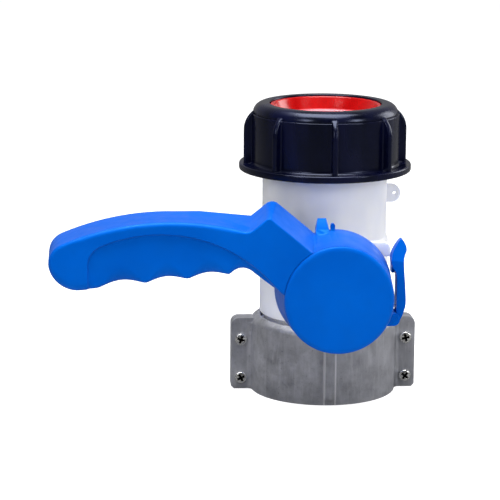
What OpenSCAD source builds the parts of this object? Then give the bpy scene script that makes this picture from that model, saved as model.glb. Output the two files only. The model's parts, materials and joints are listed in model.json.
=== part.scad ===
// Butterfly valve for the outlet of a bulk tank, with a two-half clamp, a lever and a screw cap.
// Millimetres. The origin is the centre of the clamp's base on the pipe axis, and +Z runs to the
// outlet. The lever turns about a line along Y through the disc, and it points to -X when shut.

/* [Pipe] */
// Bore of the valve
bore_d = 50; // [46:0.5:54]
// Wall of the outlet neck
neck_wall = 3; // [2.6:0.1:3.6]
// Wall of the seat around the disc
seat_wall = 3.9; // [3.6:0.1:4.6]
// Height of the whole valve
valve_h = 131; // [128:0.5:140]
// Height of the lever's axis above the clamp
hub_rise = 21.8; // [20.5:0.1:24]
// Height of the inlet flange inside the clamp
inlet_flange_h = 13.5; // [10:0.5:15]

/* [Clamp] */
// Height of the clamp
clamp_h = 34.2; // [32:0.2:38]
// Wall of the clamp's barrel
clamp_wall = 2; // [1.6:0.1:3]
// Height of the two inward lips
lip_h = 3.2; // [2.4:0.1:4]
// How far a lip reaches over a flange
lip_depth = 2.3; // [1.8:0.1:3]
// How far the ears stand out of the barrel
ear_w = 9; // [8.4:0.1:12]
// Thickness of one ear
ear_t = 3.6; // [2.8:0.1:5]
// Distance between the two screws of an ear
screw_pitch = 17.9; // [14:0.1:19]
// Thread diameter of the clamp screws
screw_d = 3; // [2.5:0.1:3.2]

/* [Lever] */
// Depth of the lever, front to back
lever_depth = 25.3; // [22:0.1:30]
// Diameter of the drum over the valve's tower, at its open back
drum_d = 51.4; // [50:0.2:54]
// How much narrower the drum is at its front
drum_draft = 4.2; // [3:0.1:5]
// Distance from the lever's axis to the end of the grip
lever_l = 123.3; // [118:0.1:130]
// Height of the grip's back above the lever's axis
grip_top = 34.3; // [33.4:0.1:35.2]
// Radius of the arc along the grip's back
grip_arc_r = 118; // [110:1:130]
// Radius of the grip's end, over its tip
tip_r = 9; // [8.4:0.1:10]
// Radius of the grip's end, under its tip
heel_r = 12.6; // [12:0.1:13.6]
// Radius of one finger scallop
scallop_r = 25; // [22:0.5:30]
// Distance between two finger cusps
scallop_pitch = 17.9; // [17:0.1:19]
// Wall of the lever's shell
lever_wall = 2.2; // [1.8:0.1:2.8]
// Depth of the stepped-in panel on the grip's front
panel_step = 1.4; // [0.8:0.1:2]
// How far the hub cover stands proud of the lever's front
cover_proud = 1.5; // [1:0.1:2.4]

/* [Stem and disc] */
// Diameter of the stem where it turns in the tower
stem_d = 12; // [11:0.1:13]
// Width of the stem's square end
drive_w = 8; // [7:0.1:8.2]
// Thickness of the disc's rim
disc_t = 5.2; // [4.6:0.1:6]
// Diameter of the disc's hub along the stem
disc_hub_d = 16; // [15:0.1:18]
// Running clearance of the stem and the disc's seal, on the radius
running_gap = 0.05; // [0.03:0.01:0.08]

/* [Cap] */
// Depth of the outlet thread
thread_depth = 2; // [1.6:0.1:2.4]
// Height of the cap nut
nut_h = 29.9; // [28:0.1:32]
// Wall of the cap nut
nut_wall = 2.7; // [2.2:0.1:3.2]
// Width of the flange around the nut's foot
nut_flange_w = 5.6; // [4.6:0.1:7]
// Thickness of the ring at the nut's top
nut_ring_t = 2.6; // [2.2:0.1:3]
// Diameter of the opening in the nut's top
nut_mouth_d = 50; // [46:0.5:52]
// Number of grip ribs on the nut
rib_count = 8; // [6:1:12]
// How far a grip rib stands out of the nut
rib_h = 3.7; // [3:0.1:4.4]
// Width of a grip rib
rib_w = 2.4; // [2:0.1:3]
// Depth of the dish in the plug
dish_depth = 6; // [4:0.1:7]

/* [Hidden] */
$fn = 96;

// Overrun of every cut, and the size of a half plane: it reaches past the whole valve
cut = 1;
span = 2 * (lever_l + valve_h);

// Gaps: loose is between pieces that pass each other, snug between pieces that sit in each other
loose = 0.4;
snug = 0.05;

// Pipe: radii outwards, then heights upwards
bore_r = bore_d / 2;
neck_r = bore_r + neck_wall;
seat_r = bore_r + seat_wall;
groove_depth = 2;
groove_r = seat_r - groove_depth;
lip_gap = 1.8;
mouth_r = groove_r + lip_gap;
fit_r = mouth_r + lip_depth;
flange_gap = 0.3;
flange_r = fit_r - flange_gap;
barrel_r = fit_r + clamp_wall;
lip_z = clamp_h - lip_h;
inlet_z = lip_z - inlet_flange_h;
inlet_gasket_t = 2.5;
groove_play = 0.8;
hub_z = clamp_h + hub_rise;
seat_above = 14;
seat_slope = 1.5;
gasket_t = 2;
plug_flange_t = 2;
cap_play = 0.1;
nut_z = valve_h - nut_h;
ring_z = valve_h - nut_ring_t;
plug_flange_z = ring_z - cap_play - plug_flange_t;
neck_top = plug_flange_z - gasket_t;

// Cap nut: radii outwards
thread_r = neck_r + thread_depth;
thread_gap = 0.3;
nut_bore_r = thread_r + thread_gap;
nut_r = nut_bore_r + nut_wall;
nut_flange_r = nut_r + nut_flange_w;
nut_flange_t = 3.1;

// Reaches from the pipe axis towards the front, along the lever's axis
lever_over_cap = 2.1;
lever_rear = nut_flange_r + lever_over_cap;
lever_front = lever_rear + lever_depth;
cover_front = lever_front + cover_proud;
cover_t = 2.1;
cover_seat = cover_front - cover_t;
plate_front = lever_rear - loose;
plate_t = 2.6;
plate_rear = plate_front - plate_t;

// Clamp: ears, screws and the strip on the front
clamp_gap = 0.6;
clamp_split = 0.5;
front_parting = clamp_gap / 2 - clamp_split;
rear_parting = clamp_gap / 2 + clamp_split;
ear_reach = barrel_r + ear_w;
ear_drop = 1.2;
ear_top_r = 3.4;
ear_foot_r = 1.3;
ear_fillet_r = 2.6;
shoulder_h = 3.4;
shoulder_in = 1.3;
shoulder_share = 0.4;
screw_in = 4.4;
screw_x = ear_reach - screw_in;
screw_low = 5.4;
screw_head_r = 0.88 * screw_d;
screw_head_h = 0.65 * screw_d;
screw_play = 0.2;
nut_af = 1.83 * screw_d;
nut_t = 0.8 * screw_d;
screw_tip = 0.5 * screw_d;
cross_w = 0.22 * screw_d;
cross_share = 0.6;
crown_share = 1.2;
strip_w = 5;
strip_h = 1.2;
strip_foot = 2.4;

// Tower, plate and catch on the valve body
tower_r = 13;
web_t = 2.4;
web_reach = 17;
plate_r = drum_d / 2 - 2 * lever_wall;
catch_out = 3.5;
catch_x = plate_r + catch_out;
catch_low = 13.2;
catch_high = 19.7;
catch_round = 3;
detent_low = -2;
detent_high = 5.6;
stop_h = 3.4;
stop_t = 2;
stop_r = plate_r - stop_t;
rear_boss_r = 9;
rear_boss_out = 4;
eye_r = 4.15;
eye_t = 1.8;
eye_out = 6.4;
eye_drop = 7.2;
eye_hole_r = 0.8;
eye_hole_in = 2.8;

// Stem: radii, then reaches
stem_r = stem_d / 2;
stem_bore_r = stem_r + running_gap;
mid_step = 1;
stem_mid_r = stem_r - mid_step;
tail_step = 1.5;
stem_tail_r = stem_r - tail_step;
seal_in = 2.2;
disc_r = bore_r - seal_in;
tail_out = 0.9;
tail_reach = seat_r + tail_out;
washer_t = 1;
clip_t = 1;
clip_depth = 1;
clip_w = 2.2;
ring_groove = 1.6;
ring_pitch = 4.5;
ring_out = 2.1;
ring_reach = seat_r + ring_out;
hub_boss_rear = plate_front + washer_t + clip_t + snug;
drum_recess = 4.4;
web_front = cover_seat - drum_recess;
drum_web_t = 2.5;
drive_short = 0.6;
drive_end = web_front - drive_short;
drive_gap = 0.1;
drive_hole = drive_w + drive_gap;
m5_r = 2.5;
m5_len = 12;
m5_head_r = 4.6;
m5_head_h = 2.6;
m5_washer_r = 6.5;
m5_washer_t = 1.2;

// Disc: the seal sits in a groove around the rim
seal_w = 3.2;
rim_gap = 0.7;
pin_r = 1.5;
disc_rib_share = 0.8;

// Drum and hub cover
drum_r = drum_d / 2;
drum_front_r = drum_r - drum_draft / 2;
drum_bore_r = drum_r - lever_wall;
cover_step = 0.1;
cover_r = drum_front_r - cover_step;
cover_round = 1.5;
cover_gap = 0.25;
recess_r = drum_front_r - lever_wall;
skirt_t = 1.5;
skirt_h = 3;
hub_boss_r = 8.5;
drum_ribs = 4;
rib_t = 1.5;

// Grip outline, seen from the front, with the lever's axis at zero
arc_share = 0.584;
arc_x = -arc_share * lever_l;
arc_z = grip_top - grip_arc_r;
heel_x = heel_r - lever_l;
arc_lap = 0.2;
nick = 0.02;
belly_slope = 5.3;
cusp_share = 0.3767;
cusp_x = -cusp_share * lever_l;
cusp_drop = 23.3;
cusp_z = grip_top - cusp_drop;
first_scallop_extra = 2;
scallop_count = 3;
throat_share = 0.334;
throat_x = -throat_share * lever_l;
throat_drop = 27.6;
throat_z = grip_top - throat_drop;
throat_r = 7;
throat_slope = 37;
peak_share = 0.245;
peak_x = -peak_share * lever_l;
peak_rise = 1.9;
peak_z = grip_top + peak_rise;
peak_r = 1.8;
neck_slope = 40;
flank_slope = 39;
dip_r = 5;
dip_lap = 0.05;

// How far the lever's upper faces lean out at its open back, and where its back does so before the dip
neck_out = 4.5;
flank_out = 0.5;
peak_back_r = 4;
peak_step = 0.05;
back_share = 0.316;
back_drop = 5.4;
back_slope = 5.7;
back_out = 3.4;
crest_out = 1.5;

// Panel on the front of the grip
panel_r = 63;
panel_share = 0.62;
panel_x = -panel_share * lever_l;
panel_drop = 5.8;
panel_top = grip_top - panel_drop;
panel_end_share = 0.86;
panel_end = -panel_end_share * lever_l;
panel_round = 8;

// Ribs inside the back of the grip
grip_rib_pitch = 20;
grip_rib_count = 5;
grip_rib_share = 0.83;
grip_rib_first = -grip_rib_share * lever_l;
grip_rib_down = 3;
grip_front_t = panel_step + lever_wall;

// Tab and peg on the drum's rear rim
tab_x = -5.4;
tab_w = 5.6;
tab_top_w = 3.7;
tab_rise = 0.9;
tab_ramp = 4;
peg_x = -0.7;
peg_w = 1.9;
peg_rise = 2.8;
peg_t = 2.3;

// Latch: a sprung tongue beside the drum, on its own stubs in two ears of the drum
latch_in = 0.5;
latch_x = drum_r - latch_in;
latch_z = -12.2;
knuckle_r = 2.8;
stub_r = 1.3;
stub_l = 1.8;
latch_back = 2.3;
latch_rear = lever_rear + latch_back;
latch_t = 7.2;
latch_front = latch_rear + latch_t;
latch_side = 0.3;
tongue_in = 0.9;
tongue_t = 3.9;
tongue_top = 22.7;
root_r = 8;
belly_in = 2;
belly_z = 13.4;
waist_in = 0.9;
waist_z = 13;
tip_in = 2;
tip_w = 2.6;
tongue_steps = 5;
nose_low = 6.6;
nose_high = 12.8;
pad_low = 12.9;
pad_lean = 4;
hook_up = 0.2;
hook_rear = plate_rear + hook_up;

// Plug and gasket
plug_gap = 0.3;
plug_wall = 2;
dish_rim = 1.4;
dish_draft = 1.8;
rim_proud = 1.9;

// Cap nut: its ribs' turn from +X is a share of their spacing
rib_turn_share = 0.2;
rib_arc_r = 10.7;
rib_top = 3.4;
dome_r = 4.6;
crease = 0.5;
foot_bevel = 0.6;

// Reach frame: children are drawn in the XZ plane around the lever's axis and grow towards the front
module from_axis(reach) {
    translate([0, -reach, hub_z]) rotate([90, 0, 0]) children();
}

// A round stretch along the lever's axis
module shaft(r, rear, front) {
    from_axis(rear) cylinder(r = r, h = front - rear);
}

// The half plane over a sloping line through a point
module over(x, z, slope, inset = 0) {
    translate([x, z]) rotate(slope) translate([-span, inset]) square(2 * span);
}

// The half space under a plane through a sloping line on the lever's front, leaning out towards its back
module under_lean(x, z, slope, out, inset = 0) {
    translate([x, z, lever_depth]) rotate(slope) translate([0, -inset, 0])
        rotate([atan(out / lever_depth), 0, 0]) translate([-span, -2 * span, -span]) cube(2 * span);
}

// Height of a small circle that touches a large arc from inside
function inside_z(x, z, r, small_x, small_r) = z + sqrt(pow(r - small_r, 2) - pow(small_x - x, 2));

// A small circle and, to its right, the part of a large one that it touches from inside; they lap a little
module arc_end(x, z, r, small_x, small_r, right_x, low_z) {
    small_z = inside_z(x, z, r, small_x, small_r);
    away = span / (r - small_r);
    translate([small_x, small_z]) circle(r = small_r);
    intersection() {
        translate([x, z]) circle(r = r, $fn = 4 * $fn);
        polygon([
            [small_x + arc_lap, low_z], [right_x, low_z], [right_x, z + span],
            [small_x + arc_lap + (small_x - x) * away, small_z + (small_z - z) * away],
            [small_x + arc_lap, small_z]
        ]);
    }
}

// Height of the grip's belly line, and the centres of its end's two circles: the heel's touches the belly,
// and the tip's touches the heel's and the back's arc from inside
function belly(x) = cusp_z + (x - cusp_x) * tan(belly_slope);
function heel_centre() = [heel_x, belly(heel_x) + heel_r / cos(belly_slope)];
function tip_centre() = let (
    heel = heel_centre(),
    across = [arc_x, arc_z] - heel,
    from_heel = heel_r - tip_r,
    from_arc = grip_arc_r - tip_r,
    apart = norm(across),
    along = (pow(from_heel, 2) - pow(from_arc, 2) + pow(apart, 2)) / (2 * apart),
    aside = sqrt(pow(from_heel, 2) - pow(along, 2))
) heel + along * across / apart + aside * [across[1], -across[0]] / apart;

// Centre of a circle that touches the back's arc and the flank, for the dip between them
function dip_centre() = let (
    line_x = peak_x - (dip_r - dip_lap) * sin(flank_slope),
    line_z = peak_z + (dip_r - dip_lap) * cos(flank_slope),
    along = (line_x - arc_x) * cos(flank_slope) + (line_z - arc_z) * sin(flank_slope),
    away = pow(line_x - arc_x, 2) + pow(line_z - arc_z, 2) - pow(grip_arc_r + dip_r, 2),
    step = along - sqrt(pow(along, 2) - away)
) [line_x - step * cos(flank_slope), line_z - step * sin(flank_slope)];

// Grip: the back is one arc into the round end, the belly a line with finger scallops
module grip_outline(inset) {
    throat_end = throat_x + throat_r * sin(throat_slope);
    heel_end = heel_x + heel_r * sin(belly_slope);
    difference() {
        intersection() {
            translate([arc_x, arc_z]) circle(r = grip_arc_r - inset, $fn = 4 * $fn);
            over(cusp_x, cusp_z, belly_slope, inset);
            translate([throat_end - 2 * span, -span]) square(2 * span);
            union() {
                translate(heel_centre()) circle(r = heel_r - inset);
                translate([heel_end + arc_lap, -span]) square(2 * span);
            }
        }
        tip_corner(inset);
        for (i = [0 : scallop_count - 1]) scallop(i, inset);
        translate([throat_x, throat_z]) circle(r = throat_r + inset);
    }
}

// What the corner between the back's arc and the heel loses to the tip's rounding
module tip_corner(inset) {
    tip = tip_centre();
    heel = heel_centre();
    from = atan2(tip[1] - arc_z, tip[0] - arc_x);
    to = atan2(heel[1] - tip[1], heel[0] - tip[0]) + 180;
    far = 3 * tip_r;
    difference() {
        polygon([
            tip, tip + far * [cos(from), sin(from)],
            tip + 2 * far * [cos((from + to) / 2), sin((from + to) / 2)],
            tip + far * [cos(to), sin(to)]
        ]);
        translate(tip) circle(r = tip_r - inset - nick);
    }
}

module scallop(i, inset) {
    extra = (i == scallop_count - 1) ? first_scallop_extra : 0;
    chord = scallop_pitch + extra;
    mid_x = cusp_x - i * scallop_pitch - chord / 2;
    drop = sqrt(pow(scallop_r, 2) - pow(chord / cos(belly_slope) / 2, 2));
    translate([mid_x + drop * sin(belly_slope), belly(mid_x) - drop * cos(belly_slope)])
        circle(r = scallop_r + inset);
}

// Neck: under the two leaning faces that meet at the peak, and over the line from the throat to the drum
module neck_solid(inset, low, high) {
    throat_end = throat_x + throat_r * sin(throat_slope);
    throat_end_z = throat_z + throat_r * cos(throat_slope);
    intersection() {
        under_lean(peak_x, peak_z, -neck_slope, neck_out, inset);
        under_lean(peak_x, peak_z, flank_slope, flank_out, inset);
        translate([0, 0, low]) linear_extrude(high - low) intersection() {
            over(throat_end, throat_end_z, -throat_slope, inset);
            translate([-span, -drum_r]) square([span, span]);
        }
    }
}

// What the peak loses to its rounding, which is wider at the back
module peak_corner() {
    half = (neck_slope + flank_slope) / 2;
    rise = (neck_out + flank_out) / 2 / cos(half);
    aside = (neck_out - flank_out) / 2 / sin(half);
    front_z = peak_z - peak_r / cos(half);
    back_z = peak_z + rise - peak_back_r / cos(half);
    lean = norm([aside, back_z - front_z]);
    tall = norm([lean, lever_depth]);
    far = 3 * peak_back_r;
    translate([peak_x + aside, back_z, 0])
        rotate(a = atan(lean / lever_depth), v = [back_z - front_z, -aside, 0]) difference() {
            translate([0, 0, -cut]) linear_extrude(tall + 2 * cut) polygon([
                [0, 0], [far * sin(neck_slope), far * cos(neck_slope)],
                [0, far / cos(half)], [-far * sin(flank_slope), far * cos(flank_slope)]
            ]);
            translate([0, 0, -2 * cut]) cylinder(
                r1 = corner_r(-2 * cut, tall), r2 = corner_r(tall + 2 * cut, tall), h = tall + 4 * cut
            );
        }
}

// Radius of the peak's rounding at a height over the back
function corner_r(height, tall) = peak_back_r - peak_step + (peak_r - peak_back_r) * height / tall;

// Where the grip's back fills out towards the open side, before the dip
module shoulder() {
    intersection() {
        under_lean(-back_share * lever_l, grip_top - back_drop, -back_slope, back_out);
        under_lean(arc_x, grip_top - crest_out, 0, crest_out - dip_lap);
        translate([arc_x, cusp_z + tip_r]) linear_extrude(lever_depth) square([peak_x - arc_x, span]);
    }
}

// What the dip behind the peak gains from its fillet
module dip_fillet() {
    centre = dip_centre();
    towards = atan2(centre[1] - arc_z, centre[0] - arc_x);
    arc_touch = [arc_x + grip_arc_r * cos(towards), arc_z + grip_arc_r * sin(towards)];
    line_touch = [centre[0] + dip_r * sin(flank_slope), centre[1] - dip_r * cos(flank_slope)];
    difference() {
        polygon([
            centre, arc_touch,
            arc_touch - [0, dip_r], line_touch - [0, dip_r],
            line_touch
        ]);
        translate(centre) circle(r = dip_r);
    }
}

// Outside of the grip and the neck, before the cells and the panel are taken out
module lever_form() {
    linear_extrude(lever_depth) {
        grip_outline(0);
        dip_fillet();
    }
    shoulder();
    difference() {
        neck_solid(0, 0, lever_depth);
        peak_corner();
    }
}

// The front panel that is stepped in, open to the belly
module panel_outline() {
    corner_x = panel_end + panel_round;
    arc_z = panel_top - panel_r;
    corner_z = inside_z(panel_x, arc_z, panel_r, corner_x, panel_round);
    arc_end(panel_x, arc_z, panel_r, corner_x, panel_round, 0, -panel_r);
    translate([panel_end, -panel_r]) square([panel_round, panel_r + corner_z]);
}

// Ribs across the hollow back of the grip
module grip_ribs() {
    for (i = [0 : grip_rib_count - 1])
        translate([grip_rib_first + i * grip_rib_pitch, -span / 2]) square([rib_t, span]);
}

// Hollow back of the grip and the neck, in one space up to the drum
module lever_cells() {
    high = lever_depth - grip_front_t;
    difference() {
        union() {
            translate([0, 0, -cut]) linear_extrude(high + cut) grip_outline(lever_wall);
            neck_solid(lever_wall, -cut, high);
        }
        translate([0, 0, -2 * cut]) cylinder(r = drum_r, h = lever_depth);
    }
}

// The valve's round housing in one piece: neck, seat, inlet flange, tower, plate and bosses
module valve_body() {
    color("lavender") difference() {
        union() {
            body_shell();
            shaft(tower_r, bore_r, plate_rear + snug);
            tower_webs();
            from_axis(plate_rear) linear_extrude(plate_t) plate_outline();
            from_axis(plate_front - snug) linear_extrude(stop_h + snug) stop_outline();
            shaft(rear_boss_r, -tail_reach - rear_boss_out + running_gap, -bore_r);
            seal_eye();
        }
        translate([0, 0, inlet_z - cut]) cylinder(r = bore_r, h = neck_top - inlet_z + 2 * cut);
        shaft(stem_bore_r, 0, plate_front + stop_h + cut);
        shaft(stem_tail_r + running_gap, -tail_reach - snug, 0);
    }
}

module body_shell() {
    seat_top = hub_z + seat_above;
    rotate_extrude() polygon([
        [bore_r - neck_wall / 2, inlet_z], [flange_r, inlet_z], [flange_r, lip_z],
        [groove_r, lip_z], [groove_r, clamp_h + groove_play],
        [seat_r, clamp_h + groove_play + groove_depth / 2],
        [seat_r, seat_top], [neck_r, seat_top + seat_slope],
        [neck_r, neck_top], [bore_r - neck_wall / 2, neck_top]
    ]);
}

// Two crossed webs tie the plate to the pipe
module tower_webs() {
    from_axis(bore_r) linear_extrude(plate_rear - bore_r + snug) {
        translate([-web_t / 2, -web_reach]) square([web_t, 2 * web_reach]);
        translate([-web_reach, -web_t / 2]) square([2 * web_reach, web_t]);
    }
}

// Plate behind the drum, with the catch over the latch's nose and the detent under it
module plate_outline() {
    circle(r = plate_r);
    translate([0, catch_low]) square([catch_x - catch_round, catch_high - catch_low]);
    translate([0, catch_low]) square([catch_x, catch_high - catch_low - catch_round]);
    translate([catch_x - catch_round, catch_high - catch_round]) circle(r = catch_round);
    intersection() {
        circle(r = catch_x);
        translate([0, detent_low]) square([catch_x, detent_high - detent_low]);
    }
}

// Stop ring inside the drum, with a quarter-turn window for the drum's stop rib
module stop_outline() {
    difference() {
        circle(r = stop_r);
        circle(r = stop_r - stop_t);
        translate([-span, -rib_t - loose]) square(span);
    }
}

// Eye for a seal wire on the neck's right side
module seal_eye() {
    eye_z = nut_z - eye_drop - eye_r;
    end_x = neck_r + eye_out;
    translate([0, eye_t / 2, eye_z]) rotate([90, 0, 0]) linear_extrude(eye_t) difference() {
        union() {
            translate([end_x - eye_r, 0]) circle(r = eye_r);
            translate([neck_r - neck_wall / 2, -eye_r])
                square([end_x - eye_r - neck_r + neck_wall / 2, 2 * eye_r]);
        }
        translate([end_x - eye_hole_in, 0]) circle(r = eye_hole_r);
    }
}

// Flat ring between the valve's inlet flange and the tank's flange
module inlet_gasket() {
    color("dimgray") translate([0, 0, inlet_z - inlet_gasket_t]) difference() {
        cylinder(r = flange_r, h = inlet_gasket_t);
        translate([0, 0, -cut]) cylinder(r = bore_r, h = inlet_gasket_t + 2 * cut);
    }
}

// Section of the clamp's ring, with an inward lip at the foot and the top
module clamp_ring() {
    shoulder_z = clamp_h - shoulder_h;
    rotate_extrude() polygon([
        [mouth_r, 0], [barrel_r, 0], [barrel_r, shoulder_z],
        [barrel_r - shoulder_share * clamp_wall, shoulder_z + shoulder_h / 2],
        [mouth_r + shoulder_in, clamp_h], [mouth_r, clamp_h],
        [mouth_r, lip_z], [fit_r, lip_z], [fit_r, lip_h], [mouth_r, lip_h]
    ]);
}

// Face of one ear, seen from the front
module ear_face() {
    ear_h = clamp_h - ear_drop;
    in_x = fit_r + clamp_wall / 2;
    difference() {
        union() {
            translate([in_x, 0]) square([ear_reach - in_x - ear_top_r, ear_h]);
            translate([in_x, ear_foot_r]) square([ear_reach - in_x, ear_h - ear_top_r - ear_foot_r]);
            translate([ear_reach - ear_top_r, ear_h - ear_top_r]) circle(r = ear_top_r);
            polygon([
                [in_x, 0], [ear_reach - ear_foot_r, 0],
                [ear_reach, ear_foot_r], [in_x, ear_foot_r]
            ]);
        }
        for (z = [screw_low, screw_low + screw_pitch])
            translate([screw_x, z]) circle(r = screw_d / 2 + screw_play);
    }
}

// Fillet between an ear and the barrel, in plan
module ear_fillet(face_y) {
    mid_y = face_y + ear_fillet_r;
    mid_x = sqrt(pow(barrel_r + ear_fillet_r, 2) - pow(mid_y, 2));
    towards = atan2(mid_y, mid_x);
    difference() {
        polygon([
            [mid_x, mid_y], [mid_x, face_y], [fit_r + clamp_wall / 2, face_y],
            [barrel_r * cos(towards) - clamp_wall / 2, barrel_r * sin(towards) - clamp_wall / 2],
            [barrel_r * cos(towards), barrel_r * sin(towards)]
        ]);
        translate([mid_x, mid_y]) circle(r = ear_fillet_r);
    }
}

// One half of the clamp, drawn on +Y, with its ears on the parting plane
module clamp_half(parting) {
    intersection() {
        clamp_ring();
        translate([-span, parting, -span]) cube(2 * span);
    }
    for (side = [0, 1]) mirror([side, 0, 0]) {
        translate([0, parting + ear_t, 0]) rotate([90, 0, 0]) linear_extrude(ear_t) ear_face();
        linear_extrude(clamp_h - shoulder_h) ear_fillet(parting + ear_t);
    }
}

// Front half, with the raised strip down its middle
module clamp_front() {
    strip_top = clamp_h - shoulder_h;
    color("gray") {
        mirror([0, 1, 0]) clamp_half(front_parting);
        intersection() {
            translate([0, -barrel_r, strip_foot]) rotate([90, 0, 0])
                translate([0, 0, -clamp_wall / 2]) linear_extrude(strip_h + clamp_wall / 2)
                    strip_face(strip_top - strip_foot);
            cylinder(r = barrel_r + strip_h, h = clamp_h);
        }
    }
}

module strip_face(tall) {
    corner = strip_w / 4;
    translate([-strip_w / 2, corner]) square([strip_w, tall - corner]);
    translate([corner - strip_w / 2, 0]) square([strip_w - 2 * corner, 2 * corner]);
    for (side = [-1, 1]) translate([side * (strip_w / 2 - corner), corner]) circle(r = corner);
}

module clamp_rear() {
    color("gray") clamp_half(rear_parting);
}

// Places of the four clamp screws
module at_screws() {
    for (x = [-screw_x, screw_x], z = [screw_low, screw_low + screw_pitch])
        translate([x, 0, z]) children();
}

// Pan-head screws with a cross recess, heads to the front
module clamp_screws() {
    head_y = -front_parting - ear_t;
    tip_y = rear_parting + ear_t + nut_t + screw_tip;
    color("silver") at_screws() difference() {
        union() {
            translate([0, tip_y, 0]) rotate([90, 0, 0]) cylinder(r = screw_d / 2, h = tip_y - head_y);
            translate([0, head_y, 0]) rotate([90, 0, 0]) pan_head(screw_head_r, screw_head_h);
        }
        translate([0, head_y - screw_head_h / 2, 0]) rotate([90, 0, 0])
            cross_recess(screw_head_r, cross_w, screw_head_h);
    }
}

// Low domed head that sits on the plane z = 0
module pan_head(r, h) {
    ball = crown_share * (r * r + h * h) / (2 * h);
    intersection() {
        cylinder(r = r, h = h);
        translate([0, 0, h - ball]) sphere(r = ball);
    }
}

module cross_recess(r, w, h) {
    reach = cross_share * r;
    for (turn = [0, 90]) rotate(turn)
        translate([-reach, -w / 2, 0]) cube([2 * reach, w, h]);
}

module clamp_nuts() {
    seat_y = rear_parting + ear_t;
    color("silver") at_screws() translate([0, seat_y + nut_t, 0]) rotate([90, 0, 0]) difference() {
        rotate(30) cylinder(r = nut_af / 2 / cos(30), h = nut_t, $fn = 6);
        translate([0, 0, -cut]) cylinder(r = screw_d / 2 + snug, h = nut_t + 2 * cut);
    }
}

// Stem from the rear boss through the disc and the tower to the square in the lever
module stem() {
    clip_rear = plate_front + washer_t;
    color("gainsboro") difference() {
        union() {
            shaft(stem_tail_r, -tail_reach, -disc_r + cut);
            shaft(stem_mid_r, -disc_r, disc_r + cut);
            shaft(stem_r, disc_r, hub_boss_rear);
            from_axis(hub_boss_rear - snug) translate([-drive_w / 2, -drive_w / 2, 0])
                cube([drive_w, drive_w, drive_end - hub_boss_rear + snug]);
        }
        for (i = [0, 1]) ring_groove_cut(ring_reach + i * ring_pitch);
        from_axis(clip_rear) difference() {
            cylinder(r = stem_r + cut, h = clip_t);
            cylinder(r = stem_r - clip_depth, h = clip_t);
        }
        shaft(m5_r + snug, drive_end - m5_len, drive_end + cut);
        translate([0, 0, hub_z - stem_r]) cylinder(r = pin_r + snug, h = stem_d);
    }
}

module ring_groove_cut(reach) {
    from_axis(reach) translate([0, 0, -ring_groove / 2]) difference() {
        cylinder(r = stem_r + cut, h = ring_groove);
        cylinder(r = stem_r - ring_groove, h = ring_groove);
    }
}

// Two sealing rings on the stem
module stem_o_rings() {
    cord_r = (ring_groove + running_gap) / 2 - snug / 2;
    color("dimgray") for (i = [0, 1]) from_axis(ring_reach + i * ring_pitch)
        rotate_extrude() translate([stem_r - ring_groove + cord_r, 0]) circle(r = cord_r, $fn = 32);
}

// Washer between the tower and the clip
module thrust_washer() {
    color("white") difference() {
        shaft(stem_r + 2 * clip_w, plate_front, plate_front + washer_t);
        shaft(stem_r + running_gap, plate_front - cut, plate_front + washer_t + cut);
    }
}

// Open spring clip in the stem's groove
module stem_circlip() {
    clip_rear = plate_front + washer_t;
    mouth = stem_r;
    color("silver") from_axis(clip_rear) difference() {
        cylinder(r = stem_r - clip_depth + clip_w, h = clip_t);
        translate([0, 0, -cut]) cylinder(r = stem_r - clip_depth, h = clip_t + 2 * cut);
        translate([-mouth / 2, -span, -cut]) cube([mouth, span, clip_t + 2 * cut]);
    }
}

// Disc in the bore, with a hub along the stem and a groove around the rim
module disc() {
    color("ghostwhite") difference() {
        union() {
            intersection() {
                translate([0, 0, hub_z - disc_t / 2]) cylinder(r = bore_r - rim_gap, h = disc_t);
                translate([0, 0, hub_z]) sphere(r = bore_r - rim_gap / 2);
            }
            intersection() {
                shaft(disc_hub_d / 2, -bore_r, bore_r);
                translate([0, 0, hub_z - disc_hub_d]) cylinder(r = disc_r, h = 2 * disc_hub_d);
            }
            disc_ribs();
        }
        seal_space();
        shaft(stem_mid_r + snug, -bore_r, bore_r);
        translate([0, 0, hub_z - disc_hub_d]) cylinder(r = pin_r + snug, h = 2 * disc_hub_d);
    }
}

// Low ribs across both faces of the disc, square to the hub
module disc_ribs() {
    reach = disc_rib_share * disc_r;
    for (side = [-1, 1], y = [-disc_r / 2, 0, disc_r / 2])
        translate([0, y, hub_z + side * disc_t / 2]) intersection() {
            translate([-reach, -rib_t / 2, -disc_t / 2]) cube([2 * reach, rib_t, disc_t]);
            cylinder(r = disc_r - rib_t, h = disc_t, center = true);
        }
}

// Space of the seal: the rim groove and a round collar where the stem leaves the disc
module seal_space() {
    difference() {
        union() {
            translate([0, 0, hub_z - seal_w / 2]) cylinder(r = bore_r + cut, h = seal_w);
            shaft(disc_hub_d / 2 + cut, -bore_r - cut, bore_r + cut);
        }
        translate([0, 0, hub_z - disc_hub_d]) cylinder(r = disc_r, h = 2 * disc_hub_d);
    }
}

// Pin through the disc's hub and the stem
module disc_pin() {
    color("silver") translate([0, 0, hub_z - disc_hub_d / 2 + pin_r / 2])
        cylinder(r = pin_r, h = disc_hub_d - pin_r);
}

// Rubber seal around the disc, with a ball-shaped outside that turns in the bore
module disc_seal() {
    color("dimgray") difference() {
        intersection() {
            translate([0, 0, hub_z]) sphere(r = bore_r - running_gap);
            union() {
                translate([0, 0, hub_z - seal_w / 2]) cylinder(r = bore_r, h = seal_w);
                shaft(disc_hub_d / 2, -bore_r, bore_r);
            }
        }
        translate([0, 0, hub_z - disc_hub_d]) cylinder(r = disc_r, h = 2 * disc_hub_d);
        shaft(stem_r + snug, 0, bore_r + cut);
        shaft(stem_tail_r + snug, -bore_r - cut, 0);
        shaft(stem_mid_r + snug, -disc_r - snug, 0);
    }
}

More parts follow.
